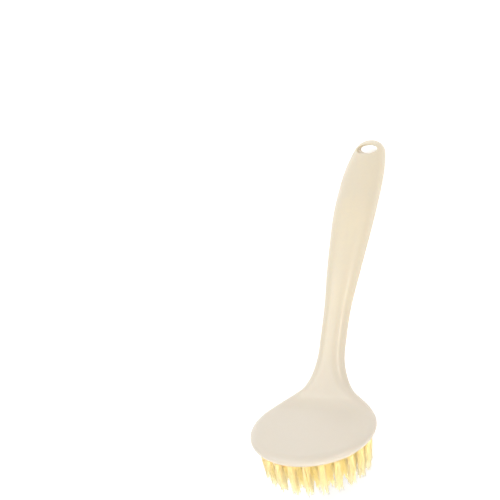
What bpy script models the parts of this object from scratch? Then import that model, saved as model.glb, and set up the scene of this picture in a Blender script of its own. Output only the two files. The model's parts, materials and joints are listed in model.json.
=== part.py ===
# Long-handled round cleaning brush: one moulded body with a flat round head, a curved handle
# and an oblique hanging eye, and 52 bristle tufts set in blind holes in four rings.
# Metres, +Z up. The brush lies on a table on its heel bristles and on the end of its handle,
# head towards -X, handle towards +X.
#
# Everything is shaped in the head's own frame: origin at the middle of the flat back, the
# bristles down along -Z and the handle rising along +X. One parent leans it all onto the table.

import math
import random

import bmesh
import bpy
from mathutils import Matrix, Vector

# Head, a round plate
HEAD_RADIUS = 0.037
HEAD_THICKNESS = 0.0056
BACK_RIM_ROUND = 0.0055  # how far in from the rim its rounding reaches on the back
FACE_RIM_ROUND = 0.0032  # the same on the bristle face

# Root of the neck, where the head bends up into the handle
BACK_BEND_START = 0.015  # from the head's centre
BACK_BEND_RADIUS = 0.016
BACK_BEND_ANGLE = math.radians(47)
HEEL_BEND_MARGIN = 0.0035  # from the head's rim
HEEL_BEND_RADIUS = 0.005
HEEL_BEND_ANGLE = math.radians(56)
NECK_FILLET_RADIUS = 0.021  # in plan, between the round head and the neck
NECK_REACH = 0.0446  # middle of the first neck section, from the head's centre
NECK_RISE = 0.0163  # the same, above the back
NECK_SLOPE = math.radians(45)
NECK_WIDTH = 0.0164
NECK_THICKNESS = 0.0118

# Handle, from the first neck section to the tip of its end
HANDLE_SPAN = 0.144
HANDLE_CLIMB = 0.0915
GRIP_WIDTH = 0.0278
GRIP_THICKNESS = 0.0187
END_WIDTH_ROUND = 0.01  # length over which the end rounds off in width
END_THICKNESS_ROUND = 0.0185  # the same in thickness
END_STEPS = 9

# Stations along the handle, from neck to end, as shares of its span and climb
SPAN_SHARES = (0.0, 0.068, 0.183, 0.335, 0.55, 0.708, 0.806, 0.885, 1.0)
CLIMB_SHARES = (0.0, 0.104, 0.259, 0.438, 0.661, 0.795, 0.868, 0.919, 1.0)
# The size there, as shares of the way from the neck's size to the grip's
WIDTH_SHARES = (0.0, -0.01, 0.05, 0.47, 0.93, 1.0, 0.9, 0.68, 0.17)
THICKNESS_SHARES = (0.0, 0.0, 0.05, 0.43, 0.98, 0.96, 0.88, 0.83, 0.78)
FLAT_SHARE = 0.1  # of a handle section's half width, left flat in its middle
RINGS_PER_STATION = 3

# Hanging eye, which enters the back of the handle's end and leaves through its end face
EYE_WIDTH = 0.0142
EYE_HEIGHT = 0.0062
EYE_ENTRY = 0.023  # near edge on the back, from the end
EYE_SLOPE = math.radians(-18)
EYE_FLARE = 0.0011
EYE_SIDES = 20
EYE_RINGS = 7

# Bristle tufts: a folded root in a blind hole, held by an anchor across the fold
HOLE_DIAMETER = 0.0041
HOLE_DEPTH = 0.0042
TUFT_CLEARANCE = 0.0003  # round the anchor's ends and above the root
TUFT_SIDES = 8
ANCHOR_HEIGHT = 0.0012
ANCHOR_OVERHANG = 0.00025  # how far the anchor stands out of the fold at each end
STRAND_LENGTH = 0.0245  # below the face, in the middle of the head
STRAND_TIP_WIDTH = 0.0009
STRAND_RAGGEDNESS = 0.0011
STRAND_BEND_POWER = 1.5  # a strand leans more towards its tip
BEND_SHARE = 0.5  # how far down a strand its bend is
TIP_DOME = 0.0022  # how much shorter the outermost strands are
TUFT_TIP_GAP = 0.0031  # between the tips of one ring's tufts and the next's, where none lean
TIP_REACH_SHARES = (0.75, 1)  # of a tuft's tip radius, least and most
OUTER_TUFT_LEAN = math.radians(5)
FOOT_CUT = 0.0005  # how deep the table cuts the lowest tips flat
RING_NAMES = ("outer", "second", "third", "inner")
RING_COUNTS = (22, 16, 10, 4)
OUTER_RING_MARGIN = 0.0055  # from the head's rim
INNER_RING_RADIUS = 0.006
RING_PITCH = (HEAD_RADIUS - OUTER_RING_MARGIN - INNER_RING_RADIUS) / (len(RING_NAMES) - 1)
TUFT_TIP_RADIUS = (RING_PITCH - TUFT_TIP_GAP) / 2

CUT_OVERRUN = 0.004
ROUNDING_STEPS = 4
BEND_STEPS = 5
NECK_STEPS = 3
TOE_STEPS = 18
SLOPE_STEP = 0.01  # of a handle station, either way, to read its slope
HALVINGS = 40  # of a range in which a place or an angle is looked for
SHARP_ANGLE = math.radians(50)
MERGE_ANGLE = math.radians(0.05)
SEED = 7


def clear_scene():
    for item in list(bpy.data.objects):
        bpy.data.objects.remove(item, do_unlink=True)


def plastic(name, colour, roughness):
    material = bpy.data.materials.new(name)
    material.use_nodes = True
    shader = material.node_tree.nodes["Principled BSDF"]
    shader.inputs["Base Color"].default_value = (*colour, 1.0)
    shader.inputs["Roughness"].default_value = roughness
    shader.inputs["Metallic"].default_value = 0.0
    material.diffuse_color = (*colour, 1.0)
    return material


def smooth(values, position):
    """Read a smooth curve through evenly numbered values at a fractional number."""
    index = min(int(position), len(values) - 2)
    part = position - index
    start, end = values[index], values[index + 1]
    before = values[index - 1] if index else 2 * start - end
    after = values[index + 2] if index + 2 < len(values) else 2 * end - start
    bend = 2 * before - 5 * start + 4 * end - after
    twist = 3 * (start - end) + after - before
    return start + part / 2 * (end - before + part * (bend + part * twist))


def half_chord(radius, reach):
    return math.sqrt(max(radius**2 - reach**2, 0))


def plan_half_width(reach):
    """Half the width of the round head and of the fillet that joins it to the neck."""
    neck_half = NECK_WIDTH / 2
    centre_gap = HEAD_RADIUS + NECK_FILLET_RADIUS
    fillet_side = neck_half + NECK_FILLET_RADIUS
    fillet_reach = half_chord(centre_gap, fillet_side)
    if reach <= fillet_reach * HEAD_RADIUS / centre_gap:
        return half_chord(HEAD_RADIUS, reach)
    if reach >= fillet_reach:
        return neck_half
    return fillet_side - half_chord(NECK_FILLET_RADIUS, fillet_reach - reach)


def rounding(half_width, flat, side):
    """From the edge to the start of the flat, (across, up) pairs of a quarter ellipse."""
    turns = [math.pi / 2 * step / ROUNDING_STEPS for step in range(ROUNDING_STEPS + 1)]
    return [(flat + (half_width - flat) * math.cos(turn), side * math.sin(turn)) for turn in turns]


def section_pairs(half_width, back_flat, face_flat):
    """One turn round a section: (across, up) pairs, where up is 1 on the back and -1 on the face."""
    upper = rounding(half_width, back_flat, 1)
    lower = rounding(half_width, face_flat, -1)[1:]
    pairs = upper + [(0, 1)] + [(-across, up) for across, up in reversed(upper)]
    return pairs + [(-across, up) for across, up in lower] + [(0, -1)] + lower[::-1]


def section_ring(back, face, half_width, back_flat, face_flat):
    middle, up_arm = (back + face) / 2, (back - face) / 2
    pairs = section_pairs(half_width, back_flat, face_flat)
    return [middle + up_arm * up + Vector((0, across, 0)) for across, up in pairs]


def flat_sections():
    """(back, face) points of the sections from the head's centre to its heel."""
    down = Vector((0, 0, -HEAD_THICKNESS))
    heel = HEAD_RADIUS - HEEL_BEND_MARGIN
    starts = [Vector((BACK_BEND_START * share, 0, 0)) for share in (0, 0.5, 1)]
    pairs = [(start, start + down) for start in starts]
    for step in range(1, BEND_STEPS + 1):
        share = step / BEND_STEPS
        turn = BACK_BEND_ANGLE * share
        bend = Vector((math.sin(turn), 0, 1 - math.cos(turn))) * BACK_BEND_RADIUS
        face_reach = BACK_BEND_START + (heel - BACK_BEND_START) * share
        pairs.append((starts[-1] + bend, Vector((face_reach, 0, 0)) + down))
    return pairs


def neck_sections(last_back, last_face):
    """(back, face) points from the heel up to the first full neck section."""
    normal = Vector((-math.sin(NECK_SLOPE), 0, math.cos(NECK_SLOPE)))
    middle = Vector((NECK_REACH, 0, NECK_RISE))
    neck_back = middle + normal * NECK_THICKNESS / 2
    neck_face = middle - normal * NECK_THICKNESS / 2
    bend = Vector((math.sin(HEEL_BEND_ANGLE), 0, 1 - math.cos(HEEL_BEND_ANGLE))) * HEEL_BEND_RADIUS
    pairs = []
    for step in range(1, NECK_STEPS + 1):
        back = last_back.lerp(neck_back, step / (NECK_STEPS + 1))
        face = (last_face + bend).lerp(neck_face, (step - 1) / NECK_STEPS)
        pairs.append((back, face))
    return pairs


def head_rings():
    """Rings from the head's centre up to just below the first full neck section."""
    flat = flat_sections()
    sections = flat + neck_sections(*flat[-1])
    rings = []
    for number, (back, face) in enumerate(sections):
        grown = max(0, number - 2) / (len(sections) - 2)
        half_width = plan_half_width((back.x + face.x) / 2)
        rim_flat = half_width - BACK_RIM_ROUND
        neck_flat = half_width * FLAT_SHARE
        back_flat = rim_flat + (neck_flat - rim_flat) * grown**2
        face_flat = max(half_chord(HEAD_RADIUS - FACE_RIM_ROUND, face.x), neck_flat)
        rings.append(section_ring(back, face, half_width, back_flat, face_flat))
    return rings


def handle_point(position):
    reach = NECK_REACH + HANDLE_SPAN * smooth(SPAN_SHARES, position)
    rise = NECK_RISE + HANDLE_CLIMB * smooth(CLIMB_SHARES, position)
    return Vector((reach, 0, rise))


def end_rounding(gap, length):
    """The share of its full size that the handle has at a gap from its tip."""
    return half_chord(1, max(1 - gap / length, 0))


def handle_section(position):
    """(back, face, half width) of the handle at a fractional station number."""
    last = len(SPAN_SHARES) - 1
    ahead = handle_point(min(position + SLOPE_STEP, last))
    along = (ahead - handle_point(max(position - SLOPE_STEP, 0))).normalized()
    up = Vector((-along.z, 0, along.x))
    middle = handle_point(position)
    gap = (handle_point(last) - middle).length
    thickness = NECK_THICKNESS + (GRIP_THICKNESS - NECK_THICKNESS) * smooth(THICKNESS_SHARES, position)
    width = NECK_WIDTH + (GRIP_WIDTH - NECK_WIDTH) * smooth(WIDTH_SHARES, position)
    up_arm = up * thickness / 2 * end_rounding(gap, END_THICKNESS_ROUND)
    half_width = width / 2 * end_rounding(gap, END_WIDTH_ROUND) + plan_half_width(middle.x) - NECK_WIDTH / 2
    return middle + up_arm, middle - up_arm, half_width


def handle_rings():
    """Rings from the first full neck section up to just below the tip, closer towards it."""
    steady = (len(SPAN_SHARES) - 2) * RINGS_PER_STATION
    positions = [number / RINGS_PER_STATION for number in range(steady)]
    for step in range(END_STEPS):
        positions.append(len(SPAN_SHARES) - 2 + math.sin(math.pi / 2 * step / END_STEPS))
    rings = []
    for position in positions:
        back, face, half_width = handle_section(position)
        flat = half_width * FLAT_SHARE
        rings.append(section_ring(back, face, half_width, flat, flat))
    return rings


def bridge(mesh, first, second, closed):
    """Quads between two rows of vertices."""
    count = len(first)
    faces = []
    for index in range(count if closed else count - 1):
        after = (index + 1) % count
        faces.append(mesh.faces.new((first[index], first[after], second[after], second[index])))
    return faces


def add_toe(mesh, ring):
    """The half of the round head in front of its centre, swept from one side to the other."""
    centre_back = ROUNDING_STEPS + 1
    left = [ring[index] for index in range(ROUNDING_STEPS, -ROUNDING_STEPS - 1, -1)]
    right = [ring[index] for index in range(centre_back + 1, centre_back + 2 * ROUNDING_STEPS + 2)]
    rows = [left]
    for step in range(1, TOE_STEPS):
        turn = math.pi * step / TOE_STEPS
        row = [Vector((-v.co.y * math.sin(turn), v.co.y * math.cos(turn), v.co.z)) for v in left]
        rows.append([mesh.verts.new(point) for point in row])
    rows.append(right)
    for first, second in zip(rows, rows[1:]):
        bridge(mesh, first, second, closed=False)
    mesh.faces.new([row[0] for row in rows] + [ring[centre_back]])
    mesh.faces.new([row[-1] for row in rows] + [ring[-centre_back]])


def finish_mesh(mesh, name):
    bmesh.ops.recalc_face_normals(mesh, faces=mesh.faces)
    data = bpy.data.meshes.new(name)
    mesh.to_mesh(data)
    mesh.free()
    data.shade_smooth()
    data.set_sharp_from_angle(angle=SHARP_ANGLE)
    return data


def body_mesh():
    mesh = bmesh.new()
    rings = [[mesh.verts.new(point) for point in ring] for ring in head_rings() + handle_rings()]
    for first, second in zip(rings, rings[1:]):
        bridge(mesh, first, second, closed=True)
    add_toe(mesh, rings[0])
    tip = mesh.verts.new(handle_point(len(SPAN_SHARES) - 1))
    for first, second in zip(rings[-1], rings[-1][1:] + rings[-1][:1]):
        mesh.faces.new((first, second, tip))
    bmesh.ops.dissolve_limit(mesh, angle_limit=MERGE_ANGLE, verts=mesh.verts, edges=mesh.edges)
    return finish_mesh(mesh, "brush_body")


def new_object(name, data, material=None):
    item = bpy.data.objects.new(name, data)
    bpy.context.scene.collection.objects.link(item)
    if material:
        data.materials.append(material)
    return item


def hide_cutter(item):
    item.hide_render = True
    item.display_type = "WIRE"


def cut(item, cutter, name):
    modifier = item.modifiers.new(name, "BOOLEAN")
    modifier.operation = "DIFFERENCE"
    modifier.solver = "EXACT"
    modifier.object = cutter


def tube_mesh(name, centres, radii_pairs, across, up, sides):
    """A closed tube through rings of ellipses that all face the same way."""
    mesh = bmesh.new()
    rings = []
    for centre, (side_radius, up_radius) in zip(centres, radii_pairs):
        turns = [math.tau * (index + 0.5) / sides for index in range(sides)]
        points = [centre + across * side_radius * math.cos(t) + up * up_radius * math.sin(t) for t in turns]
        rings.append([mesh.verts.new(point) for point in points])
    for first, second in zip(rings, rings[1:]):
        bridge(mesh, first, second, closed=True)
    mesh.faces.new(rings[0])
    mesh.faces.new(rings[-1])
    return finish_mesh(mesh, name)


def eye_entry():
    """The near edge of the eye, on the middle of the handle's back."""
    last = len(SPAN_SHARES) - 1
    entry_reach = handle_point(last).x - EYE_ENTRY
    low, high = 0.0, float(last)
    for _ in range(HALVINGS):
        middle = (low + high) / 2
        if handle_section(middle)[0].x < entry_reach:
            low = middle
        else:
            high = middle
    return handle_section(low)[0]


def eye_cutter():
    along = Vector((math.cos(EYE_SLOPE), 0, math.sin(EYE_SLOPE)))
    up = Vector((-math.sin(EYE_SLOPE), 0, math.cos(EYE_SLOPE)))
    start = eye_entry() + up * EYE_HEIGHT / 2
    centres, radii = [], []
    for ring in range(EYE_RINGS):
        share = ring / (EYE_RINGS - 1)
        flare = EYE_FLARE * (2 * share - 1) ** 2
        centres.append(start + along * ((EYE_ENTRY + CUT_OVERRUN) * share) + up * flare)
        radii.append((EYE_WIDTH / 2 + flare, EYE_HEIGHT / 2 + flare))
    centres[0] = start - along * EYE_ENTRY
    return new_object("eye_cutter", tube_mesh("eye_cutter", centres, radii, Vector((0, 1, 0)), up, EYE_SIDES))


def tuft_places():
    """(name, matrix in the head's frame, ring radius) of every tuft, +X of each pointing outwards."""
    places = []
    for ring, (ring_name, count) in enumerate(zip(RING_NAMES, RING_COUNTS)):
        radius = HEAD_RADIUS - OUTER_RING_MARGIN - RING_PITCH * ring
        for number in range(count):
            turn = math.tau * (number + 0.5) / count
            place = Vector((radius * math.cos(turn), radius * math.sin(turn), -HEAD_THICKNESS))
            matrix = Matrix.Translation(place) @ Matrix.Rotation(turn, 4, "Z")
            places.append((f"tuft_{ring_name}_{number + 1:02d}", matrix, radius))
    return places


def circle_points(radius, height, sides):
    turns = [math.tau * (index + 0.5) / sides for index in range(sides)]
    return [Vector((radius * math.cos(turn), radius * math.sin(turn), height)) for turn in turns]


def hole_cutter(places):
    mesh = bmesh.new()
    for _, matrix, _ in places:
        rows = []
        for height in (HOLE_DEPTH, -CUT_OVERRUN):
            points = circle_points(HOLE_DIAMETER / 2, height, TUFT_SIDES)
            rows.append([mesh.verts.new(matrix @ point) for point in points])
        bridge(mesh, rows[0], rows[1], closed=True)
        mesh.faces.new(rows[0])
        mesh.faces.new(rows[1])
    return new_object("hole_cutter", finish_mesh(mesh, "hole_cutter"))


def add_root(mesh, root_radius):
    """The folded root, up to the anchor that lies across its fold; returns its lowest row."""
    top = HOLE_DEPTH - TUFT_CLEARANCE
    rows = []
    for height in (0, top - ANCHOR_HEIGHT, top):
        rows.append([mesh.verts.new(point) for point in circle_points(root_radius, height, TUFT_SIDES)])
    bridge(mesh, rows[0], rows[1], closed=True)
    fold_sides = bridge(mesh, rows[1], rows[2], closed=True)
    mesh.faces.new(rows[2])
    for face, side in ((fold_sides[-1], 1), (fold_sides[TUFT_SIDES // 2 - 1], -1)):
        end = bmesh.ops.extrude_discrete_faces(mesh, faces=[face])["faces"][0]
        bmesh.ops.translate(mesh, verts=end.verts, vec=Vector((side * ANCHOR_OVERHANG, 0, 0)))
    return rows[0]


def add_strand(mesh, base, foot, tip_width):
    """A three-sided strand from a base triangle, bending towards its foot; returns its last rows."""
    middle = (base[0].co + base[1].co + base[2].co) / 3
    spread = max((vertex.co - middle).length for vertex in base)
    tip_share = tip_width / 2 / spread
    rows = [base]
    for share in (BEND_SHARE, 1):
        centre = Vector((
            middle.x + (foot.x - middle.x) * share**STRAND_BEND_POWER,
            middle.y + (foot.y - middle.y) * share**STRAND_BEND_POWER,
            middle.z + (foot.z - middle.z) * share,
        ))
        width_share = 1 + (tip_share - 1) * share
        row = [mesh.verts.new(centre + (vertex.co - middle) * width_share) for vertex in base]
        bridge(mesh, rows[-1], row, closed=True)
        rows.append(row)
    mesh.faces.new(rows[-1])
    return rows[-2], rows[-1]


def tuft_mesh(name, radius, chance):
    """A tuft in its hole's frame: +X points away from the head's centre, strands run down."""
    mesh = bmesh.new()
    flat_share = math.cos(math.pi / TUFT_SIDES)
    root_radius = HOLE_DIAMETER / 2 - (TUFT_CLEARANCE + ANCHOR_OVERHANG) / flat_share
    base = add_root(mesh, root_radius)
    centre = mesh.verts.new((0, 0, 0))
    outer_radius = HEAD_RADIUS - OUTER_RING_MARGIN
    length = STRAND_LENGTH - TIP_DOME * (radius / outer_radius) ** 2
    lean = STRAND_LENGTH * math.tan(OUTER_TUFT_LEAN) * radius / outer_radius
    ends = []
    for index in range(TUFT_SIDES):
        turn = math.tau * (index + 1) / TUFT_SIDES
        reach = TUFT_TIP_RADIUS * chance.uniform(*TIP_REACH_SHARES)
        foot = Vector((
            reach * math.cos(turn) - lean,
            reach * math.sin(turn),
            -length + STRAND_RAGGEDNESS * chance.uniform(-1, 1),
        ))
        triangle = [centre, base[index], base[(index + 1) % TUFT_SIDES]]
        bend_row, tip_row = add_strand(mesh, triangle, foot, STRAND_TIP_WIDTH)
        ends.append((bend_row, tip_row))
    mesh.verts.index_update()
    pairs = [(b.index, t.index) for bend_row, tip_row in ends for b, t in zip(bend_row, tip_row)]
    return finish_mesh(mesh, name), pairs


def leaned(point, lean):
    """A point's reach and height after the head's frame turns about Y."""
    return (
        point.x * math.cos(lean) + point.z * math.sin(lean),
        point.z * math.cos(lean) - point.x * math.sin(lean),
    )


def table_lean(tips, body_points):
    """The angle at which the cut tips and the end of the handle touch one level, and that level."""
    low, high = 0.0, math.pi / 2
    for _ in range(HALVINGS):
        lean = (low + high) / 2
        foot_level = min(leaned(point, lean)[1] for point in tips) + FOOT_CUT
        body_level = min(leaned(point, lean)[1] for point in body_points)
        if body_level > foot_level:
            low = lean
        else:
            high = lean
    return low, foot_level


def cut_feet(data, matrix, pairs, lean, level):
    """Slide the strand ends that would sink into the table back up their strands onto it."""
    for bend_index, tip_index in pairs:
        tip, bend = data.vertices[tip_index], data.vertices[bend_index]
        tip_height = leaned(matrix @ tip.co, lean)[1]
        bend_height = leaned(matrix @ bend.co, lean)[1]
        if tip_height < level:
            tip.co = tip.co.lerp(bend.co, (level - tip_height) / (bend_height - tip_height))


def main():
    clear_scene()
    chance = random.Random(SEED)
    cream = plastic("cream_plastic", (0.80, 0.71, 0.57), 0.45)
    yellow = plastic("yellow_bristle", (0.87, 0.67, 0.19), 0.5)

    body = new_object("brush_body", body_mesh(), cream)
    places = tuft_places()
    holes, eye = hole_cutter(places), eye_cutter()
    for cutter in (holes, eye):
        hide_cutter(cutter)
    cut(body, holes, "tuft holes")
    cut(body, eye, "hanging eye")

    tufts = []
    for name, matrix, radius in places:
        data, pairs = tuft_mesh(name, radius, chance)
        tuft = new_object(name, data, yellow)
        tuft.matrix_world = matrix
        tufts.append((tuft, matrix, pairs))

    tips = [matrix @ tuft.data.vertices[tip].co for tuft, matrix, pairs in tufts for _, tip in pairs]
    body_points = [vertex.co for vertex in body.data.vertices]
    lean, level = table_lean(tips, body_points)
    for tuft, matrix, pairs in tufts:
        cut_feet(tuft.data, matrix, pairs, lean, level)

    tuft_points = [matrix @ vertex.co for tuft, matrix, _ in tufts for vertex in tuft.data.vertices]
    reaches = [leaned(point, lean)[0] for point in body_points + tuft_points]
    pose = bpy.data.objects.new("table_pose", None)
    bpy.context.scene.collection.objects.link(pose)
    for item in [body, holes, eye] + [tuft for tuft, _, _ in tufts]:
        item.parent = pose
    pose.rotation_euler.y = lean
    pose.location = (-(min(reaches) + max(reaches)) / 2, 0, -level)
    bpy.context.view_layer.update()
    print(f"lean {math.degrees(lean):.3f} degrees, place {pose.location.x:.6f}, {pose.location.z:.6f}")


main()
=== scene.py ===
import json
import math
import random

import bmesh
import bpy
from mathutils import Matrix, Quaternion, Vector


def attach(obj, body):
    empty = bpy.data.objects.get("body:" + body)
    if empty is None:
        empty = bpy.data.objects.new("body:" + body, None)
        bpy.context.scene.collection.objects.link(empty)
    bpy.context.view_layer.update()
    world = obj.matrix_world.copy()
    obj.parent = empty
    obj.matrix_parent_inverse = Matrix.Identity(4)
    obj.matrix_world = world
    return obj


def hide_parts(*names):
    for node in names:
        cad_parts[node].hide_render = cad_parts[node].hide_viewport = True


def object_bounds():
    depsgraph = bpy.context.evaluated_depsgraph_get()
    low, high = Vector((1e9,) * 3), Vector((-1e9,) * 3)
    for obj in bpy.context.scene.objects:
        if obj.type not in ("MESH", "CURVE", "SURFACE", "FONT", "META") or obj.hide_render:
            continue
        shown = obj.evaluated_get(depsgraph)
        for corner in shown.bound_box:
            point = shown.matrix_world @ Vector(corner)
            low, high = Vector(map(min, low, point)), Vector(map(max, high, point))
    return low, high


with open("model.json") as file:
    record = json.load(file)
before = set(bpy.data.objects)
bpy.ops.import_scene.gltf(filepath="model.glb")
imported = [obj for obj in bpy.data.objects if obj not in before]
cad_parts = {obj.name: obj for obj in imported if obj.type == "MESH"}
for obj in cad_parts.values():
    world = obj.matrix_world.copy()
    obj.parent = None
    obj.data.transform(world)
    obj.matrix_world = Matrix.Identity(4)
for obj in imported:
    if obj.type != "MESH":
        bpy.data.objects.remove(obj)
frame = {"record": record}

# Looks for a round cleaning brush that lies on its bristles and on the end of its handle.
# Everything is shaped in the head's own frame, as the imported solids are: origin in the middle of
# the flat back, bristles down along -Z, handle rising along +X. headPose then lays it on the floor.

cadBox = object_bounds()
headBack = next(mount for mount in frame["record"]["mounts"] if mount["name"] == "head_back")
headLean = math.atan2(headBack["axis"][0], headBack["axis"][2])
mountOffset = 0.005  # the mount's point is this far from the head's centre, towards the toe
headPose = (Matrix.Translation(headBack["pos_m"]) @ Matrix.Rotation(headLean, 4, "Y")
            @ Matrix.Translation((mountOffset, 0, 0)))
print(f"frame: the head leans {math.degrees(headLean):.2f} degrees")


# camera, at the photo's viewing angle
camera = {
    "place": (-0.2757, -0.2229, 0.63915),
    "aim": (0.033814, 0.06484, 0.03),
    "roll": -38.168,
    "lens": 81.68,
    "sensor": 36,
    "near": 0.02,
    "far": 20,
}


def placeCamera(settings):
    data = bpy.data.cameras.new("camera")
    data.lens, data.sensor_width = settings["lens"], settings["sensor"]
    data.clip_start, data.clip_end = settings["near"], settings["far"]
    item = bpy.data.objects.new("camera", data)
    bpy.context.scene.collection.objects.link(item)
    look = Vector(settings["aim"]) - Vector(settings["place"])
    item.location = settings["place"]
    item.rotation_mode = "QUATERNION"
    item.rotation_quaternion = (look.to_track_quat("-Z", "Y")
                                @ Quaternion((0, 0, 1), math.radians(settings["roll"])))
    bpy.context.scene.camera = item


placeCamera(camera)
print("camera placed")


# a socket takes a link or a plain value
def feed(tree, socket, value):
    if isinstance(value, bpy.types.NodeSocket):
        tree.links.new(value, socket)
    else:
        socket.default_value = value


def addNode(tree, kind, inputs=None, **settings):
    node = tree.nodes.new(kind)
    for name, value in settings.items():
        setattr(node, name, value)
    for name, value in (inputs or {}).items():
        feed(tree, node.inputs[name], value)
    return node


def mixColours(tree, share, first, second):
    sockets = {0: share, 6: first, 7: second}  # the colour mode's own factor, A and B
    return addNode(tree, "ShaderNodeMix", sockets, data_type="RGBA").outputs[2]


def remap(tree, value, low, high, newLow, newHigh, smooth=False):
    kind = "SMOOTHSTEP" if smooth else "LINEAR"
    return addNode(tree, "ShaderNodeMapRange", {
        "Value": value, "From Min": low, "From Max": high, "To Min": newLow, "To Max": newHigh,
    }, interpolation_type=kind).outputs[0]


def calculate(tree, operation, first, second=0.0):
    return addNode(tree, "ShaderNodeMath", {0: first, 1: second}, operation=operation).outputs[0]


def newGroup(name, inputs, outputs):
    tree = bpy.data.node_groups.new(name, "ShaderNodeTree")
    for socketName, kind, value in inputs:
        socket = tree.interface.new_socket(
            socketName, in_out="INPUT", socket_type="NodeSocket" + kind)
        if value is not None:
            socket.default_value = value
    for socketName, kind in outputs:
        tree.interface.new_socket(socketName, in_out="OUTPUT", socket_type="NodeSocket" + kind)
    given = tree.nodes.new("NodeGroupInput").outputs
    return tree, given, tree.nodes.new("NodeGroupOutput").inputs


# cloudy drift of a colour, as in any batch of coloured plastic or nylon
cloudyDrift = {
    "detail": 4.0,
    "softness": 0.55,
    "clearBelow": 0.3,
    "fullAbove": 0.7,
}


def makeDriftGroup(shape):
    tree, given, result = newGroup("colourDrift", [
        ("Vector", "Vector", None),
        ("Colour", "Color", (1, 1, 1, 1)),
        ("Second Colour", "Color", (1, 1, 1, 1)),
        ("Scale", "Float", 30.0),
        ("Amount", "Float", 0.5),
    ], [("Colour", "Color"), ("Mask", "Float")])
    cloud = addNode(tree, "ShaderNodeTexNoise", {
        "Vector": given["Vector"], "Scale": given["Scale"],
        "Detail": shape["detail"], "Roughness": shape["softness"]}).outputs["Fac"]
    mask = remap(tree, cloud, shape["clearBelow"], shape["fullAbove"], 0.0, 1.0, smooth=True)
    share = calculate(tree, "MULTIPLY", mask, given["Amount"])
    feed(tree, result["Colour"], mixColours(tree, share, given["Colour"], given["Second Colour"]))
    feed(tree, result["Mask"], mask)
    return tree


# fine spark-eroded grain of a mould, as a height and a change of roughness
sparkGrain = {
    "detail": 3.0,
    "softness": 0.6,
    "waveScale": 0.08,  # share of the grain's
    "waveDetail": 1.0,
    "waveSoftness": 0.4,
    "smoothBelow": 0.15,
    "roughAbove": 0.4,
}


def makeGrainGroup(shape):
    tree, given, result = newGroup("mouldGrain", [
        ("Vector", "Vector", None),
        ("Scale", "Float", 1500.0),
        ("Waviness", "Float", 0.3),
        ("Low Roughness", "Float", 0.35),
        ("High Roughness", "Float", 0.5),
    ], [("Height", "Float"), ("Roughness", "Float")])
    grain = addNode(tree, "ShaderNodeTexNoise", {
        "Vector": given["Vector"], "Scale": given["Scale"],
        "Detail": shape["detail"], "Roughness": shape["softness"]}).outputs["Fac"]
    waves = addNode(tree, "ShaderNodeTexNoise", {
        "Vector": given["Vector"],
        "Scale": calculate(tree, "MULTIPLY", given["Scale"], shape["waveScale"]),
        "Detail": shape["waveDetail"], "Roughness": shape["waveSoftness"]}).outputs["Fac"]
    swell = calculate(tree, "MULTIPLY", waves, given["Waviness"])
    feed(tree, result["Height"], calculate(tree, "ADD", grain, swell))
    mixed = calculate(tree, "MULTIPLY", grain, waves)
    feed(tree, result["Roughness"], remap(
        tree, mixed, shape["smoothBelow"], shape["roughAbove"],
        given["Low Roughness"], given["High Roughness"]))
    return tree


driftGroup = makeDriftGroup(cloudyDrift)
grainGroup = makeGrainGroup(sparkGrain)


def placeGroup(tree, group, inputs):
    return addNode(tree, "ShaderNodeGroup", inputs, node_tree=group).outputs


def newMaterial(name, fixed):
    material = bpy.data.materials.new(name)
    material.use_nodes = True
    shader = material.node_tree.nodes["Principled BSDF"]
    for socketName, value in fixed.items():
        shader.inputs[socketName].default_value = value
    return material, material.node_tree, shader


# cream plastic: satin, a touch of depth, warmer towards the handle
creamPlastic = {
    "fixed": {
        "IOR": 1.49,
        "Subsurface Weight": 0.15,
        "Subsurface Scale": 0.003,
        "Subsurface Radius": (1.0, 0.7, 0.45),
        "Coat Roughness": 0.22,
    },
    "cream": (0.80, 0.735, 0.63, 1),
    "cloud": (0.775, 0.70, 0.59, 1),
    "warm": (0.88, 0.78, 0.58, 1),
    "warmFrom": -0.085,  # metres along the brush
    "warmTo": 0.0,
    "clouds": {"Scale": 22.0, "Amount": 0.35},
    "specks": {"Scale": 420.0, "Amount": 0.18},
    "grain": {"Scale": 1600.0, "Waviness": 0.6, "Low Roughness": 0.30, "High Roughness": 0.40},
    "bump": {"Strength": 0.6, "Distance": 0.00002},
    "scuffTurn": (0.0, 0.35, 0.25),
    "scuffStretch": (30.0, 900.0, 900.0),
    "scuffNoise": {"Scale": 1.0, "Detail": 2.0},
    "scuffRange": (0.64, 0.72),
    "scuffs": 0.35,
    "scuffRoughness": 0.25,
    "scuffDepth": 0.5,
    "coat": (0.12, 0.2),
}


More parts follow.
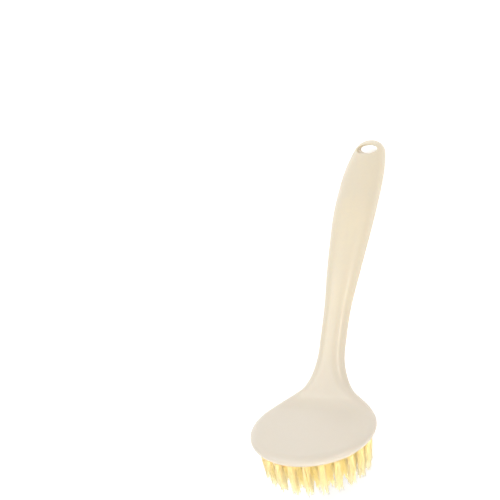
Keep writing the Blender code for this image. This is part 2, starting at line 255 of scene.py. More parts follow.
def makeCreamPlastic(look):
    material, tree, shader = newMaterial("creamPlastic", look["fixed"])
    place = addNode(tree, "ShaderNodeTexCoord").outputs["Object"]
    along = addNode(tree, "ShaderNodeSeparateXYZ", {0: place}).outputs["X"]
    # warmer towards the handle, from the head outwards along the brush
    towardsHandle = remap(tree, along, look["warmFrom"], look["warmTo"], 0.0, 1.0, smooth=True)
    base = mixColours(tree, towardsHandle, look["cream"], look["warm"])
    drift = placeGroup(tree, driftGroup, {
        "Vector": place, "Colour": base, "Second Colour": look["cloud"], **look["clouds"]})
    specks = placeGroup(tree, driftGroup, {
        "Vector": place, "Colour": drift["Colour"], "Second Colour": look["cloud"],
        **look["specks"]})
    feed(tree, shader.inputs["Base Color"], specks["Colour"])
    grain = placeGroup(tree, grainGroup, {"Vector": place, **look["grain"]})
    # hairline scuffs from drawers and drainers, along the handle
    stretched = addNode(tree, "ShaderNodeMapping", {
        "Vector": place, "Rotation": look["scuffTurn"], "Scale": look["scuffStretch"]}).outputs[0]
    hairs = addNode(tree, "ShaderNodeTexNoise", {
        "Vector": stretched, **look["scuffNoise"]}).outputs["Fac"]
    scuffs = remap(tree, hairs, *look["scuffRange"], 0.0, look["scuffs"], smooth=True)
    rougher = calculate(tree, "MULTIPLY", scuffs, look["scuffRoughness"])
    feed(tree, shader.inputs["Roughness"], calculate(tree, "ADD", grain["Roughness"], rougher))
    cut = calculate(tree, "MULTIPLY", scuffs, look["scuffDepth"])
    height = calculate(tree, "SUBTRACT", grain["Height"], cut)
    bump = addNode(tree, "ShaderNodeBump", {"Height": height, **look["bump"]})
    feed(tree, shader.inputs["Normal"], bump.outputs["Normal"])
    feed(tree, shader.inputs["Coat Weight"], remap(tree, drift["Mask"], 0.0, 1.0, *look["coat"]))
    return material


# nylon: a more saturated golden towards the roots, painted in for the shade and bounced light
# between close filaments, and paler at the cut ends
yellowNylon = {
    "fixed": {
        "IOR": 1.53,
        "Subsurface Weight": 0.9,
        "Subsurface Scale": 0.006,
        "Subsurface Radius": (1.0, 0.88, 0.5),
    },
    # root, middle and tip colours run along each filament; the saturated roots are painted shade
    # and bounced light
    "root": (0.845, 0.68, 0.35, 1),
    "middle": (0.69, 0.59, 0.35, 1),
    "tip": (0.645, 0.615, 0.475, 1),
    "middleAt": 0.45,  # share of a filament's length
    "inner": (0.97, 0.85, 0.46, 1),  # painted light: a brighter golden for the tufts inside the outer ring, which stand in its shade
    "innerAt": 0.25,  # share of the way in to the head's middle
    "innerFade": (0.5, 1.0),  # shares of the length between which that colour fades
    "innerShare": (1.0, 0.4),
    "drift": {"Scale": 260.0, "Amount": 0.25},
    "brightness": (0.95, 1.03),
    "grain": {"Scale": 2600.0, "Waviness": 0.4, "Low Roughness": 0.34, "High Roughness": 0.5},
    "bump": {"Strength": 0.5, "Distance": 0.00001},
}


def makeYellowNylon(look):
    material, tree, shader = newMaterial("yellowNylon", look["fixed"])
    shader.subsurface_method = "BURLEY"  # light goes on from filament to filament
    place = addNode(tree, "ShaderNodeTexCoord").outputs["Object"]
    along, tone, inward = (addNode(tree, "ShaderNodeAttribute", attribute_name=name).outputs["Fac"]
                           for name in ("along", "tone", "inward"))
    # painted shade: saturated golden at the roots, for the shade and bounce between close
    # filaments, pale at the ends
    lower = remap(tree, along, 0.0, look["middleAt"], 0.0, 1.0, smooth=True)
    upper = remap(tree, along, look["middleAt"], 1.0, 0.0, 1.0, smooth=True)
    colour = mixColours(tree, lower, look["root"], look["middle"])
    colour = mixColours(tree, upper, colour, look["tip"])
    # painted light: tufts inside the outer ring get a brighter golden, standing in for light
    # through the nylon in their shade
    innerGlowMask = remap(tree, inward, 0.0, look["innerAt"], 0.0, 1.0)
    fading = remap(tree, along, *look["innerFade"], *look["innerShare"])
    colour = mixColours(tree, calculate(tree, "MULTIPLY", innerGlowMask, fading), colour, look["inner"])
    drift = placeGroup(tree, driftGroup, {
        "Vector": place, "Colour": colour, "Second Colour": look["middle"], **look["drift"]})
    toned = addNode(tree, "ShaderNodeVectorMath", {0: drift["Colour"]}, operation="SCALE")
    feed(tree, toned.inputs["Scale"], remap(tree, tone, 0.0, 1.0, *look["brightness"]))
    feed(tree, shader.inputs["Base Color"], toned.outputs[0])
    grain = placeGroup(tree, grainGroup, {"Vector": place, **look["grain"]})
    feed(tree, shader.inputs["Roughness"], grain["Roughness"])
    bump = addNode(tree, "ShaderNodeBump", {"Height": grain["Height"], **look["bump"]})
    feed(tree, shader.inputs["Normal"], bump.outputs["Normal"])
    return material


# tinned anchor plate
anchorMetal = {
    "fixed": {"Metallic": 1.0},
    "bright": (0.78, 0.77, 0.74, 1),
    "dull": (0.55, 0.54, 0.52, 1),
    "drift": {"Scale": 1200.0, "Amount": 0.8},
    "roughness": (0.25, 0.5),
}


def makeAnchorMetal(look):
    material, tree, shader = newMaterial("tinnedPlate", look["fixed"])
    place = addNode(tree, "ShaderNodeTexCoord").outputs["Object"]
    drift = placeGroup(tree, driftGroup, {
        "Vector": place, "Colour": look["bright"], "Second Colour": look["dull"],
        **look["drift"]})
    feed(tree, shader.inputs["Base Color"], drift["Colour"])
    feed(tree, shader.inputs["Roughness"], remap(tree, drift["Mask"], 0.0, 1.0, *look["roughness"]))
    return material


plasticMaterial = makeCreamPlastic(creamPlastic)
nylonMaterial = makeYellowNylon(yellowNylon)
anchorMaterial = makeAnchorMetal(anchorMetal)
print("materials made")


# brush body, one moulding
body = {
    "headRadius": 0.037,
    "headThickness": 0.0056,
    "backRimRound": 0.0055,
    "faceRimRound": 0.0032,
    "backBendStart": 0.015,
    "backBendRadius": 0.016,
    "backBendAngle": math.radians(47),
    "heelBendMargin": 0.0035,
    "heelBendRadius": 0.005,
    "heelBendAngle": math.radians(56),
    "neckFilletRadius": 0.021,
    "neckReach": 0.0446,
    "neckRise": 0.0163,
    "neckSlope": math.radians(45),
    "neckWidth": 0.0164,
    "neckThickness": 0.0118,
    "handleSpan": 0.144,
    "handleClimb": 0.0915,
    "gripWidth": 0.0278,
    "gripThickness": 0.0187,
    "endWidthRound": 0.01,
    "endThicknessRound": 0.0185,
    # along the handle, one value for each station
    "spanShares": (0.0, 0.068, 0.183, 0.335, 0.55, 0.708, 0.806, 0.885, 1.0),
    "climbShares": (0.0, 0.104, 0.259, 0.438, 0.661, 0.795, 0.868, 0.919, 1.0),
    "widthShares": (0.0, -0.01, 0.05, 0.47, 0.93, 1.0, 0.9, 0.68, 0.17),
    "thicknessShares": (0.0, 0.0, 0.05, 0.43, 0.98, 0.96, 0.88, 0.83, 0.78),
    "slopeStep": 0.01,  # of a station, either way, to read the handle's slope
    "flatShare": 0.1,  # of a section's half width, left flat in its middle
    # head sections at which the flat back, the back's bend, the heel's bend and the head end
    "flatEnd": 2,
    "bendEnd": 7,
    "heelEnd": 8,
    "headEnd": 11,
    "stepsPerSection": 6,
    "stepsPerStation": 12,
    "endSteps": 30,
    "toeSteps": 60,
    "roundingSteps": 12,
    "easingRounds": 14,
    "skinVoxel": 0.00042,  # the skin's grid, which also rounds the edges of holes
    "skinSmoothing": 4,
    "skinSmoothingFactor": 0.5,
    "skinShare": 0.5,  # of its triangles, kept once it is smooth
}
lastStation = len(body["spanShares"]) - 1

# hanging eye, slanting through the end of the handle
eye = {
    "width": 0.0126,
    "draft": 0.002,  # how much further each side stands at the exit
    "height": 0.0056,
    "entry": 0.023,
    "slope": math.radians(-18),
    "flare": 0.0011,
    "taperEnd": 1 / 6,  # share of the way through where the mouth's straight taper ends
    "taperFlare": 4 / 9,  # share of the flare left there
    "taperGrowth": 5 / 9,
    "overrun": 0.004,
    "halvings": 40,  # of the handle, in which the entry is looked for
    "sides": 48,
    "rings": 25,
    "mouthRings": 8,
    "roundings": 45,
    "roundingFactor": 0.5,
    "roundedReach": 0.018,
}


def smoothRead(values, position):
    index = min(int(position), len(values) - 2)
    part = position - index
    start, end = values[index], values[index + 1]
    before = values[index - 1] if index else 2 * start - end
    after = values[index + 2] if index + 2 < len(values) else 2 * end - start
    bend = 2 * before - 5 * start + 4 * end - after
    twist = 3 * (start - end) + after - before
    return start + part / 2 * (end - before + part * (bend + part * twist))


def halfChord(radius, reach):
    return math.sqrt(max(radius**2 - reach**2, 0))


# half the width of the round head and of the fillet that joins it to the neck
def planHalfWidth(reach):
    neckHalf = body["neckWidth"] / 2
    centreGap = body["headRadius"] + body["neckFilletRadius"]
    filletSide = neckHalf + body["neckFilletRadius"]
    filletReach = halfChord(centreGap, filletSide)
    if reach <= filletReach * body["headRadius"] / centreGap:
        return halfChord(body["headRadius"], reach)
    if reach >= filletReach:
        return neckHalf
    return filletSide - halfChord(body["neckFilletRadius"], filletReach - reach)


# back and face points of a head section
def headSpine(position):
    flatEnd, bendEnd = body["flatEnd"], body["bendEnd"]
    heelEnd, headEnd = body["heelEnd"], body["headEnd"]
    down = Vector((0, 0, -body["headThickness"]))
    bendStart = Vector((body["backBendStart"], 0, 0))
    if position <= flatEnd:
        back = bendStart * position / flatEnd
        return back, back + down
    share = min((position - flatEnd) / (bendEnd - flatEnd), 1)
    turn = body["backBendAngle"] * share
    back = bendStart + Vector((math.sin(turn), 0, 1 - math.cos(turn))) * body["backBendRadius"]
    heel = body["headRadius"] - body["heelBendMargin"]
    faceReach = body["backBendStart"] + (heel - body["backBendStart"]) * share
    face = Vector((faceReach, 0, 0)) + down
    if position <= bendEnd:
        return back, face
    normal = Vector((-math.sin(body["neckSlope"]), 0, math.cos(body["neckSlope"])))
    middle = Vector((body["neckReach"], 0, body["neckRise"]))
    arm = normal * body["neckThickness"] / 2
    heelTurn = body["heelBendAngle"] * min((position - bendEnd) / (heelEnd - bendEnd), 1)
    face += Vector((math.sin(heelTurn), 0, 1 - math.cos(heelTurn))) * body["heelBendRadius"]
    back = back.lerp(middle + arm, (position - bendEnd) / (headEnd - bendEnd))
    if position > heelEnd:
        face = face.lerp(middle - arm, (position - heelEnd) / (headEnd - heelEnd))
    return back, face


def handlePoint(position):
    reach = body["neckReach"] + body["handleSpan"] * smoothRead(body["spanShares"], position)
    rise = body["neckRise"] + body["handleClimb"] * smoothRead(body["climbShares"], position)
    return Vector((reach, 0, rise))


def endRounding(gap, length):
    return halfChord(1, max(1 - gap / length, 0))


def handleSpine(position):
    ahead = handlePoint(min(position + body["slopeStep"], lastStation))
    direction = (ahead - handlePoint(max(position - body["slopeStep"], 0))).normalized()
    up = Vector((-direction.z, 0, direction.x))
    middle = handlePoint(position)
    gap = (handlePoint(lastStation) - middle).length
    fullness = smoothRead(body["thicknessShares"], position)
    thickness = body["neckThickness"] + (body["gripThickness"] - body["neckThickness"]) * fullness
    arm = up * thickness / 2 * endRounding(gap, body["endThicknessRound"])
    return middle + arm, middle - arm


def handleHalfWidth(position):
    middle = handlePoint(position)
    gap = (handlePoint(lastStation) - middle).length
    fullness = smoothRead(body["widthShares"], position)
    width = body["neckWidth"] + (body["gripWidth"] - body["neckWidth"]) * fullness
    rounded = width / 2 * endRounding(gap, body["endWidthRound"])
    return rounded + planHalfWidth(middle.x) - body["neckWidth"] / 2


# one turn round a section: a quarter ellipse at each corner, flats between
def sectionRing(back, face, halfWidth, backFlat, faceFlat):
    steps = body["roundingSteps"]
    turns = [math.pi / 2 * step / steps for step in range(steps + 1)]
    upper = [(backFlat + (halfWidth - backFlat) * math.cos(t), math.sin(t)) for t in turns]
    lower = [(faceFlat + (halfWidth - faceFlat) * math.cos(t), -math.sin(t)) for t in turns[1:]]
    pairs = upper + [(0, 1)] + [(-across, up) for across, up in reversed(upper)]
    pairs += [(-across, up) for across, up in lower] + [(0, -1)] + lower[::-1]
    middle, arm = (back + face) / 2, (back - face) / 2
    return [middle + arm * up + Vector((0, across, 0)) for across, up in pairs]


# spines with the kinks between index low and index high eased
def easeSpines(spines, low, high):
    for _ in range(body["easingRounds"]):
        eased = list(spines)
        for index in range(low, high):
            before, here, after = spines[index - 1:index + 2]
            eased[index] = tuple((before[side] + after[side]) / 4 + here[side] / 2
                                 for side in (0, 1))
        spines = eased
    return spines


# all sections from the head's centre to just below the tip
def bodySections():
    headSteps = body["headEnd"] * body["stepsPerSection"]
    positions = [step / body["stepsPerSection"] for step in range(headSteps)]
    handleSteps = (lastStation - 1) * body["stepsPerStation"]
    stations = [step / body["stepsPerStation"] for step in range(handleSteps)]
    for step in range(body["endSteps"]):
        stations.append(lastStation - 1 + math.sin(math.pi / 2 * step / body["endSteps"]))
    spines = [headSpine(position) for position in positions]
    spines += [handleSpine(station) for station in stations]
    spines = easeSpines(spines, body["flatEnd"] * body["stepsPerSection"],
                        headSteps + body["stepsPerStation"])
    sections = []
    for index, (back, face) in enumerate(spines):
        if index < headSteps:
            grown = max(0, positions[index] - body["flatEnd"]) / (body["headEnd"] - body["flatEnd"])
            halfWidth = planHalfWidth((back.x + face.x) / 2)
            rimFlat, neckFlat = halfWidth - body["backRimRound"], halfWidth * body["flatShare"]
            backFlat = rimFlat + (neckFlat - rimFlat) * min(grown, 1)**2
            faceFlat = max(halfChord(body["headRadius"] - body["faceRimRound"], face.x), neckFlat)
        else:
            halfWidth = handleHalfWidth(stations[index - headSteps])
            backFlat = faceFlat = halfWidth * body["flatShare"]
        sections.append(sectionRing(back, face, halfWidth, backFlat, faceFlat))
    return sections


def joinRows(mesh, first, second, closed):
    count = len(first)
    for index in range(count if closed else count - 1):
        after = (index + 1) % count
        mesh.faces.new((first[index], first[after], second[after], second[index]))


def finishMesh(mesh, name):
    bmesh.ops.recalc_face_normals(mesh, faces=mesh.faces)
    data = bpy.data.meshes.new(name)
    mesh.to_mesh(data)
    mesh.free()
    data.shade_smooth()
    return data


def newObject(name, data):
    item = bpy.data.objects.new(name, data)
    bpy.context.scene.collection.objects.link(item)
    return item


# the lofted sections, with the toe's half of the head turned about its centre
def loftBody():
    mesh = bmesh.new()
    rings = [[mesh.verts.new(point) for point in ring] for ring in bodySections()]
    for first, second in zip(rings, rings[1:]):
        joinRows(mesh, first, second, closed=True)
    steps = body["roundingSteps"]
    ring, centreBack = rings[0], steps + 1
    left = [ring[index] for index in range(steps, -steps - 1, -1)]
    right = [ring[index] for index in range(centreBack + 1, centreBack + 2 * steps + 2)]
    rows = [left]
    for step in range(1, body["toeSteps"]):
        turn = math.pi * step / body["toeSteps"]
        points = [(-v.co.y * math.sin(turn), v.co.y * math.cos(turn), v.co.z) for v in left]
        rows.append([mesh.verts.new(point) for point in points])
    rows.append(right)
    for first, second in zip(rows, rows[1:]):
        joinRows(mesh, first, second, closed=False)
    mesh.faces.new([row[0] for row in rows] + [ring[centreBack]])
    mesh.faces.new([row[-1] for row in rows] + [ring[-centreBack]])
    tip = mesh.verts.new(handlePoint(lastStation))
    for first, second in zip(rings[-1], rings[-1][1:] + rings[-1][:1]):
        mesh.faces.new((first, second, tip))
    return finishMesh(mesh, "brushBody")


def eyeEntryPoint():
    entryReach = handlePoint(lastStation).x - eye["entry"]
    low, high = 0.0, float(lastStation)
    for _ in range(eye["halvings"]):
        middle = (low + high) / 2
        if handleSpine(middle)[0].x < entryReach:
            low = middle
        else:
            high = middle
    return handleSpine(low)[0]


def eyeCutter():
    along = Vector((math.cos(eye["slope"]), 0, math.sin(eye["slope"])))
    up = Vector((-math.sin(eye["slope"]), 0, math.cos(eye["slope"])))
    start = eyeEntryPoint() + up * eye["height"] / 2
    length = eye["entry"] + eye["overrun"]
    turns = [math.tau * (index + 0.5) / eye["sides"] for index in range(eye["sides"])]
    mesh = bmesh.new()
    rings = []
    for step in range(-eye["mouthRings"], eye["rings"]):
        share = step / (eye["rings"] - 1)
        if share < eye["taperEnd"]:  # straight taper where it comes into the back
            opening = eye["taperFlare"] + eye["taperGrowth"] * (eye["taperEnd"] - share)
        else:
            opening = (2 * share - 1)**2
        flare = eye["flare"] * opening
        centre = start + along * length * share + up * flare
        side = eye["width"] / 2 + flare / 2 + eye["draft"] * max(share, 0)
        rise = eye["height"] / 2 + flare
        rings.append([
            mesh.verts.new(centre + Vector((0, side * math.cos(t), 0)) + up * rise * math.sin(t))
            for t in turns])
    for first, second in zip(rings, rings[1:]):
        joinRows(mesh, first, second, closed=True)
    mesh.faces.new(rings[0])
    mesh.faces.new(rings[-1])
    return newObject("eyeCutter", finishMesh(mesh, "eyeCutter"))


# bristle tufts in four rings of blind holes
tufts = {
    "rings": (("outer", 22), ("second", 16), ("third", 10), ("inner", 4)),
    "outerMargin": 0.0055,
    "innerRadius": 0.006,
    "holeDiameter": 0.0041,
    "holeDepth": 0.0042,
    "holeSides": 24,
    "holeOverrun": 0.004,
    "clearance": 0.0003,
    "anchorHeight": 0.0012,
    "anchorThickness": 0.0003,
    "anchorDrop": 0.0012,  # from the top of the root to the anchor
    "anchorBevel": 0.00006,
    "anchorBevelSteps": 2,
    "folds": 32,  # folded filaments in a tuft, each with two ends
    "filament": 0.00038,
    "endWidth": 0.00024,
    "sides": 5,
    "bundleRadius": 0.00168,
    "rowWidth": 0.0002,  # the folds are laid side by side in rows this wide
    "rowLooseness": 0.00005,
    "crownDrop": 0.0006,  # how much lower the narrowest fold's crown is
    "foldShoulder": (1, 0.75),  # shares of the fold's half width and of its crown's height
    "foldBrow": (0.6, 0.95),
    "legShares": (0, 0.2, 0.42, 0.62, 0.8, 0.92, 1),
    "splay": 1.15,  # a filament leans more towards its end
    "taperStart": 0.85,
    "taperLength": 0.15,
    "length": 0.0245,
    "dome": 0.0022,
    "ragged": 0.0013,
    "spread": 1.5,  # how much wider the outer ring's tufts are at their tips, and the others'
    "innerSpread": 2.15,
    "clumps": 4,
    "clumpReach": 0.0017,
    "clumpReachRange": (0.75, 1.25),
    "clumpTurn": 0.18,
    "clumpPull": 0.35,
    "clumpPullRange": (0.55, 1.2),
    "scatter": 0.00022,
    "strays": 0.05,
    "strayReach": 0.0012,
    "pointed": 0.0042,
    "pointedRange": (0.2, 1),
    "pointedMost": 1.2,
    "bow": 0.0003,
    "lean": math.radians(5),
    "seed": 11,
}


# name, pose in the head's frame and share of the outer ring's radius of each tuft
def tuftPlaces():
    outerRadius = body["headRadius"] - tufts["outerMargin"]
    pitch = (outerRadius - tufts["innerRadius"]) / (len(tufts["rings"]) - 1)
    places = []
    for ring, (name, count) in enumerate(tufts["rings"]):
        radius = outerRadius - pitch * ring
        for number in range(count):
            turn = math.tau * (number + 0.5) / count
            centre = (radius * math.cos(turn), radius * math.sin(turn), -body["headThickness"])
            matrix = Matrix.Translation(centre) @ Matrix.Rotation(turn, 4, "Z")
            places.append((f"{name}_{number + 1:02d}", matrix, radius / outerRadius))
    return places


def holeCutter(places):
    mesh = bmesh.new()
    sides, radius = tufts["holeSides"], tufts["holeDiameter"] / 2
    turns = [math.tau * index / sides for index in range(sides)]
    for _, matrix, _ in places:
        rows = []
        for height in (tufts["holeDepth"], -tufts["holeOverrun"]):
            points = [Vector((radius * math.cos(t), radius * math.sin(t), height)) for t in turns]
            rows.append([mesh.verts.new(matrix @ point) for point in points])
        joinRows(mesh, rows[0], rows[1], closed=True)
        mesh.faces.new(rows[0])
        mesh.faces.new(rows[1])
    return newObject("holeCutter", finishMesh(mesh, "holeCutter"))


def applyModifiers(item):
    bpy.context.view_layer.update()
    evaluated = item.evaluated_get(bpy.context.evaluated_depsgraph_get())
    data = bpy.data.meshes.new_from_object(evaluated)
    item.modifiers.clear()
    old, item.data = item.data, data
    bpy.data.meshes.remove(old)


def keepInBox(data):
    low, high = cadBox
    for vertex in data.vertices:
        vertex.co = [min(max(vertex.co[axis], low[axis]), high[axis]) for axis in range(3)]


# the edges of the eye are thin wedges, worn round here
def roundEye(data):
    mesh = bmesh.new()
    mesh.from_mesh(data)
    along = Vector((math.cos(eye["slope"]), 0, math.sin(eye["slope"])))
    centre = eyeEntryPoint() + along * eye["entry"] / 2
    near = [vertex for vertex in mesh.verts if (vertex.co - centre).length < eye["roundedReach"]]
    for _ in range(eye["roundings"]):
        bmesh.ops.smooth_vert(mesh, verts=near, factor=eye["roundingFactor"],
                              use_axis_x=True, use_axis_y=True, use_axis_z=True)
    mesh.to_mesh(data)
    mesh.free()


# the skin over the loft less its holes, smoothed and then thinned
def makeBody(places):
    item = newObject("brush_body_skin", loftBody())
    cutters = [holeCutter(places), eyeCutter()]
    for cutter in cutters:
        modifier = item.modifiers.new(cutter.name, "BOOLEAN")
        modifier.operation, modifier.solver, modifier.object = "DIFFERENCE", "EXACT", cutter
    skin = item.modifiers.new("skin", "REMESH")
    skin.mode, skin.voxel_size, skin.use_smooth_shade = "VOXEL", body["skinVoxel"], True
    easing = item.modifiers.new("easing", "SMOOTH")
    easing.factor, easing.iterations = body["skinSmoothingFactor"], body["skinSmoothing"]
    applyModifiers(item)
    for cutter in cutters:
        bpy.data.objects.remove(cutter, do_unlink=True)
    roundEye(item.data)
    thinning = item.modifiers.new("thinning", "DECIMATE")
    thinning.ratio = body["skinShare"]
    applyModifiers(item)
    item.data.shade_smooth()
    item.data.transform(headPose)
    keepInBox(item.data)
    item.data.materials.clear()
    item.data.materials.append(plasticMaterial)
    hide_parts("brush_body")
    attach(item, "root")
    print(f"body made, {len(item.data.polygons)} faces")


places = tuftPlaces()
makeBody(places)


# a round tube through points, with a value of its own for each ring
def addTube(points, radii, values, tone, store):
    sides = tufts["sides"]
    vertices, faces, along, tones = store
    first = len(vertices)
    side = Vector((1, 0, 0))
    for index, point in enumerate(points):
        ahead, behind = points[min(index + 1, len(points) - 1)], points[max(index - 1, 0)]
        direction = (ahead - behind).normalized()
        side = (side - direction * side.dot(direction)).normalized()
        other = direction.cross(side)
        for corner in range(sides):
            turn = math.tau * corner / sides
            outward = side * math.cos(turn) + other * math.sin(turn)
            vertices.append(point + outward * radii[index])
            along.append(values[index])
            tones.append(tone)
    for ring in range(len(points) - 1):
        for corner in range(sides):
            after = (corner + 1) % sides
            start = first + ring * sides
            faces.append((start + corner, start + after,
                          start + sides + after, start + sides + corner))
    lastRing = first + (len(points) - 1) * sides
    faces.append(tuple(first + corner for corner in reversed(range(sides))))
    faces.append(tuple(lastRing + corner for corner in range(sides)))


# where the ends of a tuft's filaments gather
def clumpCentres(spread, chance):
    twist = chance.uniform(0, math.tau)
    clumps = []
    for index in range(tufts["clumps"]):
        shift = chance.uniform(-tufts["clumpTurn"], tufts["clumpTurn"])
        turn = twist + math.tau * (index + shift) / tufts["clumps"]
        reach = tufts["clumpReach"] * spread / tufts["spread"]
        reach *= chance.uniform(*tufts["clumpReachRange"])
        clumps.append(Vector((reach * math.cos(turn), reach * math.sin(turn), 0)))
    return clumps


# where a filament that starts at base ends
def legEnd(base, clumps, spread, ringShare, chance):
    wide = Vector((base.x, base.y, 0)) * spread
    clump = min(clumps, key=lambda centre: (centre - wide).length)
    pull = tufts["clumpPull"] * chance.uniform(*tufts["clumpPullRange"])
    end = wide.lerp(clump, min(pull, 1))
    end += Vector((chance.gauss(0, tufts["scatter"]), chance.gauss(0, tufts["scatter"]), 0))
    if chance.random() < tufts["strays"]:
        end += Vector((chance.uniform(-1, 1), chance.uniform(-1, 1), 0)) * tufts["strayReach"]
    offCentre = min((wide - clump).length / tufts["bundleRadius"], tufts["pointedMost"])
    length = tufts["length"] - tufts["dome"] * ringShare**2 + tufts["ragged"]
    length -= tufts["pointed"] * offCentre * chance.uniform(*tufts["pointedRange"])
    length -= tufts["ragged"] * abs(chance.gauss(0, 1))
    end.x -= tufts["length"] * math.tan(tufts["lean"]) * ringShare
    end.z = -length
    return end


# a filament from its hole to its end, or to where it meets the floor
def legPoints(base, end, bowing, matrix):
    shares = tufts["legShares"]
    points = []
    for share in shares:
        bow = bowing * math.sin(math.pi * share)
        flat = base.lerp(end, share**tufts["splay"])
        down = base.z + (end.z - base.z) * share
        points.append(matrix @ Vector((flat.x + bow.x, flat.y + bow.y, down)))
    kept = len(points)
    floorLevel, toeSide = cadBox[0].z, cadBox[0].x
    for index in range(1, len(points)):
        if points[index].z < floorLevel:
            above, below = points[index - 1], points[index]
            points[index] = above.lerp(below, (above.z - floorLevel) / (above.z - below.z))
            kept = index + 1
            break
    points = points[:kept]
    margin = tufts["filament"] / 2
    for point in points:
        point.x = max(point.x, toeSide + margin)
        point.z = max(point.z, floorLevel)
    return points, list(shares[:kept])


# starts of a tuft's folded filaments: a spiral over its round root, mirrored onto one half, of
# which every second spot is used
def foldSpots():
    golden = math.pi * (3 - math.sqrt(5))
    count = tufts["folds"] * 2
    spots = []
    for index in range(count):
        radius = tufts["bundleRadius"] * math.sqrt((index + 0.5) / count)
        turn = index * golden
        spots.append(Vector((radius * math.cos(turn), abs(radius * math.sin(turn)), 0)))
    return sorted(spots, key=lambda spot: (round(spot.x / tufts["rowWidth"]), spot.y))[::2]


# a filament's fold over the anchor, from one leg to the other
def foldPoints(shift, nearY, crown, matrix):
    (shoulderReach, shoulderRise), (browReach, browRise) = tufts["foldShoulder"], tufts["foldBrow"]
    arch = ((shoulderReach, shoulderRise), (browReach, browRise), (0, 1),
            (-browReach, browRise), (-shoulderReach, shoulderRise))
    return [matrix @ Vector((shift, nearY * reach, crown * rise)) for reach, rise in arch]


def makeTuft(name, place, ringShare, chance):
    matrix = headPose @ place
    spread = tufts["spread"] if ringShare == 1 else tufts["innerSpread"]
    clumps = clumpCentres(spread, chance)
    store = ([], [], [], [])
    foldTop = tufts["holeDepth"] - tufts["clearance"]
    thickness = tufts["filament"] / 2
    taper = tufts["endWidth"] / tufts["filament"]
    for spot in foldSpots():
        tone = chance.random()
        bowing = Vector((chance.gauss(0, 1), chance.gauss(0, 1), 0)) * tufts["bow"]
        shift = spot.x + chance.uniform(-1, 1) * tufts["rowLooseness"]
        nearY = max(spot.y, tufts["anchorThickness"] / 2 + thickness)
        baseA, baseB = Vector((shift, nearY, 0)), Vector((shift, -nearY, 0))
        endA, endB = (legEnd(base, clumps, spread, ringShare, chance) for base in (baseA, baseB))
        legA, valuesA = legPoints(baseA, endA, bowing, matrix)
        legB, valuesB = legPoints(baseB, endB, -bowing, matrix)
        crown = foldTop - thickness - tufts["crownDrop"] * (1 - nearY / tufts["bundleRadius"])
        fold = foldPoints(shift, nearY, crown, matrix)
        points = legA[::-1] + fold + legB
        values = valuesA[::-1] + [0.0] * len(fold) + valuesB
        tapered = [max(value - tufts["taperStart"], 0) for value in values]
        radii = [thickness * (1 + (taper - 1) * part / tufts["taperLength"]) for part in tapered]
        addTube(points, radii, values, tone, store)
    vertices, faces, along, tones = store
    for vertex in vertices:
        vertex.z = max(vertex.z, cadBox[0].z)
        vertex.x = max(vertex.x, cadBox[0].x)
    data = bpy.data.meshes.new("bristles_" + name)
    data.from_pydata(vertices, [], faces)
    inward = [1 - ringShare] * len(vertices)
    for attributeName, values in (("along", along), ("tone", tones), ("inward", inward)):
        data.attributes.new(attributeName, "FLOAT", "POINT").data.foreach_set("value", values)
    data.shade_smooth()
    data.update()
    item = newObject("bristles_" + name, data)
    data.materials.append(nylonMaterial)
    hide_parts("tuft_" + name)
    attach(item, "root")


# a thin metal plate across each tuft's fold
def makeAnchors(places):
    mesh = bmesh.new()
    length = 2 * (tufts["holeDiameter"] / 2 - tufts["clearance"])
    top = tufts["holeDepth"] - tufts["clearance"] - tufts["anchorDrop"]
    size = Matrix.Diagonal((length, tufts["anchorThickness"], tufts["anchorHeight"], 1))
    shift = Matrix.Translation((0, 0, top - tufts["anchorHeight"] / 2))
    for _, matrix, _ in places:
        corners = bmesh.ops.create_cube(mesh, size=1)["verts"]
        bmesh.ops.transform(mesh, matrix=headPose @ matrix @ shift @ size, verts=corners)
    bmesh.ops.bevel(mesh, geom=mesh.edges[:], offset=tufts["anchorBevel"],
                    segments=tufts["anchorBevelSteps"], affect="EDGES")
    item = newObject("tuft_anchors", finishMesh(mesh, "tuft_anchors"))
    item.data.materials.append(anchorMaterial)
    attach(item, "root")


chance = random.Random(tufts["seed"])
for name, place, ringShare in places:
    makeTuft(name, place, ringShare, chance)
makeAnchors(places)
print(f"{len(places)} tufts made")


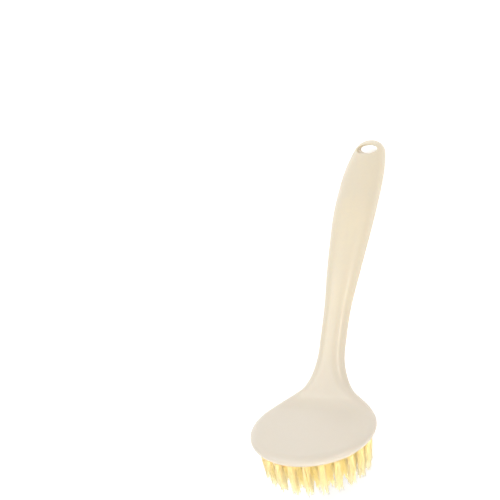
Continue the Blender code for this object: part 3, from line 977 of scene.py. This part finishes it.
# studio: pale floor, white all round for the camera, soft light
studio = {
    "floorColour": (0.9, 0.9, 0.9, 1),
    "floorRoughness": 0.9,
    "floorGlow": 0.5,
    "floorSize": 6.0,
    "floorGap": 0.0001,
    "white": (1, 1, 1, 1),
    "sky": 0.54,
    "lampAim": (0, 0, 0.03),
    "lamps": (
        # name, place, size, watts, colour
        ("key", (0.15, 0.75, 1.2), (1.0, 1.0), 7.4, (1.0, 0.99, 0.97)),
        ("streak", (0.24, -0.8, 0.9), (0.5, 0.06), 3.0, (1.0, 0.93, 0.86)),
        ("front", (-1.1, -0.35, 0.22), (1.2, 0.4), 5.5, (1.0, 0.96, 0.89)),
    ),
}


# 1 for rays that should find plain white: the camera's, and those mirrored or let through
def whiteRays(tree):
    rays = addNode(tree, "ShaderNodeLightPath").outputs
    both = calculate(tree, "MAXIMUM", rays["Is Camera Ray"], rays["Is Glossy Ray"])
    return calculate(tree, "MAXIMUM", both, rays["Is Transmission Ray"])


def makeFloor(settings):
    half = settings["floorSize"] / 2
    corners = [(-half, -half, 0), (half, -half, 0), (half, half, 0), (-half, half, 0)]
    data = bpy.data.meshes.new("floor")
    data.from_pydata(corners, [], [(0, 1, 2, 3)])
    item = newObject("floor", data)
    item.location.z = -settings["floorGap"]
    material, tree, shader = newMaterial("paleFloor", {
        "Base Color": settings["floorColour"],
        "Roughness": settings["floorRoughness"],
        "Emission Color": settings["white"]})
    glow = calculate(tree, "MULTIPLY", whiteRays(tree), settings["floorGlow"])
    feed(tree, shader.inputs["Emission Strength"], glow)
    data.materials.append(material)


def makeWorld(settings):
    world = bpy.data.worlds.new("studio")
    bpy.context.scene.world = world
    world.use_nodes = True
    tree = world.node_tree
    background = tree.nodes["Background"]
    feed(tree, background.inputs["Color"], settings["white"])
    strength = remap(tree, whiteRays(tree), 0.0, 1.0, settings["sky"], 1.0)
    feed(tree, background.inputs["Strength"], strength)


def makeLamps(settings):
    for name, place, size, watts, colour in settings["lamps"]:
        data = bpy.data.lights.new(name, "AREA")
        data.shape = "RECTANGLE"
        data.size, data.size_y = size
        data.energy, data.color = watts, colour
        item = newObject(name, data)
        item.location = place
        item.rotation_mode = "QUATERNION"
        look = Vector(settings["lampAim"]) - Vector(place)
        item.rotation_quaternion = look.to_track_quat("-Z", "Y")


makeFloor(studio)
makeWorld(studio)
makeLamps(studio)
bpy.context.scene.view_settings.view_transform = "Standard"
print("studio made")

bpy.context.view_layer.update()
